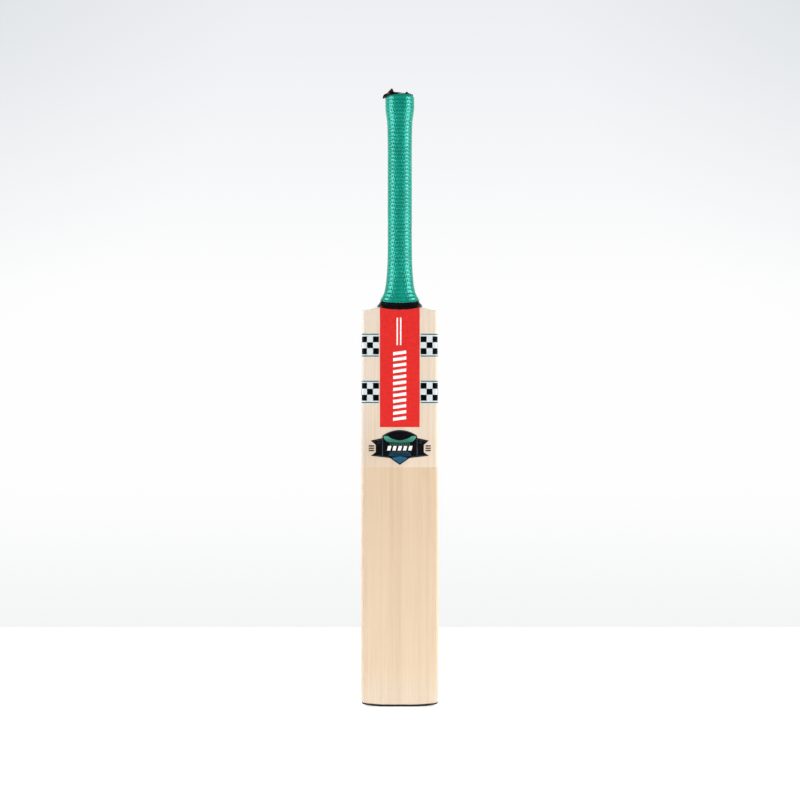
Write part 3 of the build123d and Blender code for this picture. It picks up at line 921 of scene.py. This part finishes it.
def twine():
    """One thread wound round the handle, turn against turn, from the neck to the end."""
    turns = (TWINE_TOP - TWINE_BOTTOM) / TWINE_PITCH
    total = int(turns * TWINE_STEPS)
    verts = []
    for step in range(total + 1):
        angle = 2 * math.pi * step / TWINE_STEPS
        height = lerp(TWINE_BOTTOM, TWINE_TOP, step / total)
        if height > COLLAR_START:
            radius = lerp(14.45, 15.8, smoothstep(COLLAR_START, COLLAR_FULL, height))
        else:
            radius = handle_radius(angle, height) - TWINE_INSET
        for corner in range(TWINE_SIDES):
            turn = 2 * math.pi * corner / TWINE_SIDES
            out, up = TWINE_RADIUS * math.cos(turn), TWINE_RADIUS * math.sin(turn)
            verts.append(around(radius + out, angle, height + up))
    faces = ring_faces(0, TWINE_SIDES, total + 1)
    faces.append(list(range(TWINE_SIDES)))
    faces.append([total * TWINE_SIDES + corner for corner in range(TWINE_SIDES)])
    made = add_mesh("twine_winding", verts, faces, twine_material, "twine")
    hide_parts("twine_binding")


twine()

# ---- tape round the neck ----

TAPE_EDGE_SIDE = 556.5
TAPE_EDGE_DIP = 6.8
TAPE_EDGE_HALF = 32.0
TAPE_TOP = 566.0
TAPE_MARGIN = 0.06           # how far it stays above the lower edge of the CAD tape
TAPE_SINK = 0.72             # how far its inner side lies under the surface


def tape_edge(across):
    share = min(1.0, abs(across) / TAPE_EDGE_HALF)
    return TAPE_EDGE_SIDE - TAPE_EDGE_DIP * math.sqrt(1 - share * share)


def radial_hit(tree, angle, height):
    """Surface seen from outside in one direction from the handle's axis, or else the nearest surface."""
    away = Vector((math.cos(angle), math.sin(angle), 0))
    centre = Vector((0, HANDLE_Y, height))
    found = cast(tree, centre + away * 120, -away, 120)
    if found is None:
        near, normal, _, _ = tree.find_nearest((centre + away * 30) * MM)
        found = near / MM, (normal if normal.dot(away) >= 0 else -normal)
    return found


def tape_row_start(tree, angle):
    """Height of the tape's lower edge in one direction from the handle's axis."""
    across = 20 * math.cos(angle)
    for _ in range(6):
        height = tape_edge(across)
        across = radial_hit(tree, angle, height + TAPE_MARGIN)[0].x
    return height + TAPE_MARGIN


def collar_tape():
    """Two turns of stretched tape over the neck, the upper turn lapping the lower, with small creases."""
    tree = target("collar_tape")
    columns, rows = 220, 30
    outer = [[None] * columns for _ in range(rows + 1)]
    inner = [[None] * columns for _ in range(rows + 1)]
    for column in range(columns):
        angle = 2 * math.pi * column / columns
        low = tape_row_start(tree, angle)
        uneven = wobble(3 * math.cos(angle), 3 * math.sin(angle), 2)
        lap = 0.5 + 0.07 * math.sin(angle + 0.9) + 0.03 * uneven
        for row in range(rows + 1):
            share = row / rows
            place, normal = radial_hit(tree, angle, lerp(low, TAPE_TOP - 0.1, share))
            crease = wobble(place.x * 0.16, place.y * 0.16, place.z * 0.9)
            fine = wobble(place.x * 0.6, place.y * 0.6, place.z * 2.6 + 7)
            lift = 0.2 * smoothstep(lap - 0.035, lap + 0.02, share) + 0.16 * crease + 0.05 * fine
            lift -= 0.35 * (1 - smoothstep(0.0, 0.05, share))
            outer[row][column] = place + normal * lift
            inner[row][column] = place - normal * TAPE_SINK
    made = add_mesh("collar_tape_wrap", *skin(outer, inner, closed=True), tape_material, "black_tape")
    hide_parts("collar_tape")


collar_tape()

# ---- loose tape on the handle's end ----

# Directions round the rim in degrees (270 is the front), with how far the scrap of tape hangs over the
# rim's rounding in degrees, where it starts on the flat top, and how high it is crumpled off the rim.
SCRAP_HANG = [(186, 102), (200, 98), (212, 84), (226, 60), (245, 46), (262, 22), (272, 9), (290, 9),
              (300, 18), (320, 32), (338, 48), (352, 54)]
SCRAP_START = [(186, 12.0), (240, 12.6), (262, 14.2), (290, 14.4), (310, 13.4), (320, 14.3), (352, 15.0)]
SCRAP_LIFT = [(186, 0.6), (205, 1.5), (222, 2.2), (236, 2.0), (252, 1.5), (266, 0.9), (281, 0.35), (299, 0.5),
              (306, 1.8), (310, 2.6), (314, 1.8), (321, 0.4), (352, 0.1)]
SCRAP_FROM, SCRAP_TO = 186, 352
SCRAP_GAP = 0.3              # from the rim to the underside of the tape
SCRAP_THICKNESS = 0.3


def scrap_place(direction, share, lift):
    """Place on the scrap: share runs from its inner edge, over the rim's top, to its hanging edge."""
    start = smooth_table(SCRAP_START, direction)
    hang = math.radians(smooth_table(SCRAP_HANG, direction))
    top_radius = 15.2
    if share < 0.35:
        radius, height = lerp(start, top_radius, share / 0.35), GRIP_TOP + SCRAP_GAP
    else:
        turn = hang * (share - 0.35) / 0.65
        reach = GRIP_RIM_RADIUS + SCRAP_GAP
        radius, height = top_radius + reach * math.sin(turn), GRIP_RIM_START + reach * math.cos(turn)
    height += smooth_table(SCRAP_LIFT, direction) * math.sin(math.pi * min(1.0, share / 0.8)) ** 1.5
    radius += 3.4 * smoothstep(SCRAP_FROM + 20, SCRAP_FROM, direction)
    x, y, _ = around(radius, math.radians(direction), height)
    crumple = wobble(x * 0.3, y * 0.3, height * 0.3)
    fine = wobble(x * 1.1, y * 1.1, height)
    return Vector((x + 0.2 * fine, y - 0.25 * crumple, height + lift + 0.4 * crumple + 0.12 * fine))


def end_tape():
    """Torn scrap of tape stuck over the rim: its left end stands off, its middle is rucked up."""
    columns, rows = 150, 16
    outer, inner = [], []
    for row in range(rows + 1):
        upper_row, lower_row = [], []
        for column in range(columns + 1):
            direction = lerp(SCRAP_FROM, SCRAP_TO, column / columns)
            torn = 0.06 * wobble(direction * 0.22, 5.0 * (row > rows / 2), 0)
            share = min(1.0, max(0.0, row / rows * (1 + torn)))
            upper_row.append(scrap_place(direction, share, SCRAP_THICKNESS))
            lower_row.append(scrap_place(direction, share, 0.0))
        outer.append(upper_row)
        inner.append(lower_row)
    made = add_mesh("end_tape_scrap", *skin(outer, inner), tape_material, "black_tape")
    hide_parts("end_tape")


def end_tape_liner():
    """Torn corner of the tape's red liner, curling up from the scrap."""
    foot_left, foot_right, tip = (-17.4, 850.0), (-7.9, 851.0), (-10.9, 856.7)
    rows, columns = 14, 12
    front, back = [], []
    for row in range(rows + 1):
        up = row / rows
        left = (lerp(foot_left[0], tip[0] - 0.25, up), lerp(foot_left[1], tip[1], up))
        right = (lerp(foot_right[0], tip[0] + 0.25, up), lerp(foot_right[1], tip[1] - 0.2, up))
        front_row, back_row = [], []
        for column in range(columns + 1):
            share = column / columns
            bow = 0.5 * math.sin(math.pi * up) * (share - 0.5)
            x, z = lerp(left[0], right[0], share) + bow, lerp(left[1], right[1], share)
            curl = 0.9 * math.sin(2.2 * share + 1.4 * up) + 0.5 * wobble(x * 0.5, z * 0.5, 4.0)
            y = -26.2 + curl
            front_row.append((x, y - 0.12, z))
            back_row.append((x, y + 0.12, z))
        front.append(front_row)
        back.append(back_row)
    made = add_mesh("end_tape_liner_flag", *skin(front, back), liner_material, "tape_liner")
    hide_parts("end_tape_liner")


end_tape()
end_tape_liner()

# ---- floor, backdrop, light and camera ----


def stage_mesh(name, verts, faces, material):
    mesh = bpy.data.meshes.new(name)
    mesh.from_pydata(verts, [], faces)
    mesh.materials.append(material)
    made = bpy.data.objects.new(name, mesh)
    scene.collection.objects.link(made)
    return made


def floor_material():
    """Smooth white table top, lit from all round so that it hardly takes a shadow."""
    material, tree, shader = new_material("floor_white", Emission_Strength=0.5, Emission_Color=(1, 1, 1, 1))
    mottle = grain(tree, (3, 3, 3), 2.0)
    shade = ramp(tree, mottle, [(0.3, grey(0.86)), (0.7, grey(0.89))])
    feed(tree, shader, Base_Color=shade, Roughness=span(tree, mottle, 0.3, 0.7, 0.5, 0.6))
    return material


def glowing(name):
    """Material that only gives off light."""
    return new_material(name, Emission_Strength=1.0, Base_Color=grey(0.0), Specular_IOR_Level=0.0)


def room_material():
    """Bright pale room far round the bat that glows, with painted shade that makes it a little greyer towards
    the top.
    """
    material, tree, shader = glowing("room_white")
    # Painted shade: greyer towards the top.
    shade = ramp(tree, span(tree, axes(tree)[2], 0.0, 4.0), [
        (0.0, grey(1.0)), (0.12, colour(250, 251, 251)), (1.0, colour(222, 224, 228)),
    ])
    feed(tree, shader, Emission_Color=shade)
    return material


ROOM_FLOOR = -0.45           # metres, as all of the stage is
ROOM_TOP = 7.5
ROOM_PROFILE = ((7.0, ROOM_FLOOR), (7.6, -0.2), (7.8, 0.6), (7.8, 4.0), (5.0, 6.5))


def room():
    """Round floor and wall beyond the lit floor. Only the camera sees them, so they light nothing."""
    sides = 64
    ring = [(math.cos(2 * math.pi * i / sides), math.sin(2 * math.pi * i / sides)) for i in range(sides)]
    verts = [(0, 0, ROOM_FLOOR)]
    for radius, height in ROOM_PROFILE:
        verts += [(radius * x, radius * y, height) for x, y in ring]
    last = 1 + (len(ROOM_PROFILE) - 1) * sides
    top = len(verts)
    verts.append((0, 0, ROOM_TOP))
    faces = ring_faces(1, sides, len(ROOM_PROFILE))
    for i in range(sides):
        after = (i + 1) % sides
        faces += [[0, 1 + i, 1 + after], [last + i, top, last + after]]
    made = stage_mesh("room", verts, faces, room_material())
    for face in made.data.polygons:
        face.use_smooth = True
    for kind in ("diffuse", "glossy", "transmission", "shadow"):
        setattr(made, "visible_" + kind, False)


def backdrop_material():
    """White paper that glows, with painted shade that darkens it softly towards its top and its upper
    corners.
    """
    material, tree, shader = glowing("backdrop_white")
    across, _, height = axes(tree)
    # Painted shade along the height, darkest at the top.
    shade = ramp(tree, span(tree, height, -1.2, 2.0), [
        (0.0, colour(243, 244, 243)), (0.27, colour(244, 245, 244)), (0.31, colour(246, 248, 247)),
        (0.42, colour(254, 254, 254)), (0.62, colour(254, 254, 254)), (0.85, colour(241, 242, 245)),
        (1.0, colour(234, 235, 240)),
    ])
    # Painted shade towards the upper corners.
    reach = maths(tree, "MULTIPLY", maths(tree, "ABSOLUTE", across), span(tree, height, 0.3, 1.8, 0.15, 1.0))
    shade = tint(tree, shade, span(tree, reach, 0.45, 1.5), [
        (0.0, grey(1.0)), (1.0, (0.86, 0.885, 0.885, 1)),
    ])
    feed(tree, shader, Emission_Color=shade)
    return material


FLOOR_FRONT = -1.15
FLOOR_END = 1.37
FLOOR_SIDE = 1.9
floor_corners = [
    (-FLOOR_SIDE, FLOOR_FRONT, 0), (FLOOR_SIDE, FLOOR_FRONT, 0),
    (FLOOR_SIDE, FLOOR_END, 0), (-FLOOR_SIDE, FLOOR_END, 0),
]
backdrop_corners = [(-9, 5.5, -4), (9, 5.5, -4), (9, 5.5, 7), (-9, 5.5, 7)]
stage_mesh("floor", floor_corners, [[0, 1, 2, 3]], floor_material())
room()
stage_mesh("backdrop", backdrop_corners, [[0, 1, 2, 3]], backdrop_material())


def softbox(name, azimuth, distance, height, size, power):
    """Upright rectangular light, aimed at the middle of the bat. Azimuth 0 is in front of the face."""
    data = bpy.data.lights.new(name, "AREA")
    data.shape = "RECTANGLE"
    data.size, data.size_y = size
    data.energy = power
    made = bpy.data.objects.new(name, data)
    turn = math.radians(azimuth)
    made.location = (distance * math.sin(turn), -distance * math.cos(turn), height)
    aim = Vector((0, 0, 0.43)) - made.location
    made.rotation_mode = "QUATERNION"
    made.rotation_quaternion = aim.to_track_quat("-Z", "Y")
    made.visible_camera = False
    scene.collection.objects.link(made)


softbox("softbox_left", -72, 2.2, 0.75, (1.4, 1.9), 52)
softbox("softbox_right", 72, 2.2, 0.75, (1.4, 1.9), 57)
softbox("softbox_back", 180, 2.4, 1.6, (1.6, 1.0), 14)

world = bpy.data.worlds.new("studio")
world.use_nodes = True
background = world.node_tree.nodes["Background"].inputs
background["Color"].default_value = (0.86, 0.87, 0.885, 1)
background["Strength"].default_value = 0.25
scene.world = world
scene.view_settings.view_transform = "Standard"
scene.view_settings.look = "None"

camera_data = bpy.data.cameras.new("camera")
camera_data.lens = 130
camera_data.sensor_width = 36
camera_data.clip_end = 40
camera = bpy.data.objects.new("camera", camera_data)
camera.location = (0.0003, -4.029, 0.4246)
camera.rotation_euler = (math.radians(90), 0, 0)
scene.collection.objects.link(camera)
scene.camera = camera
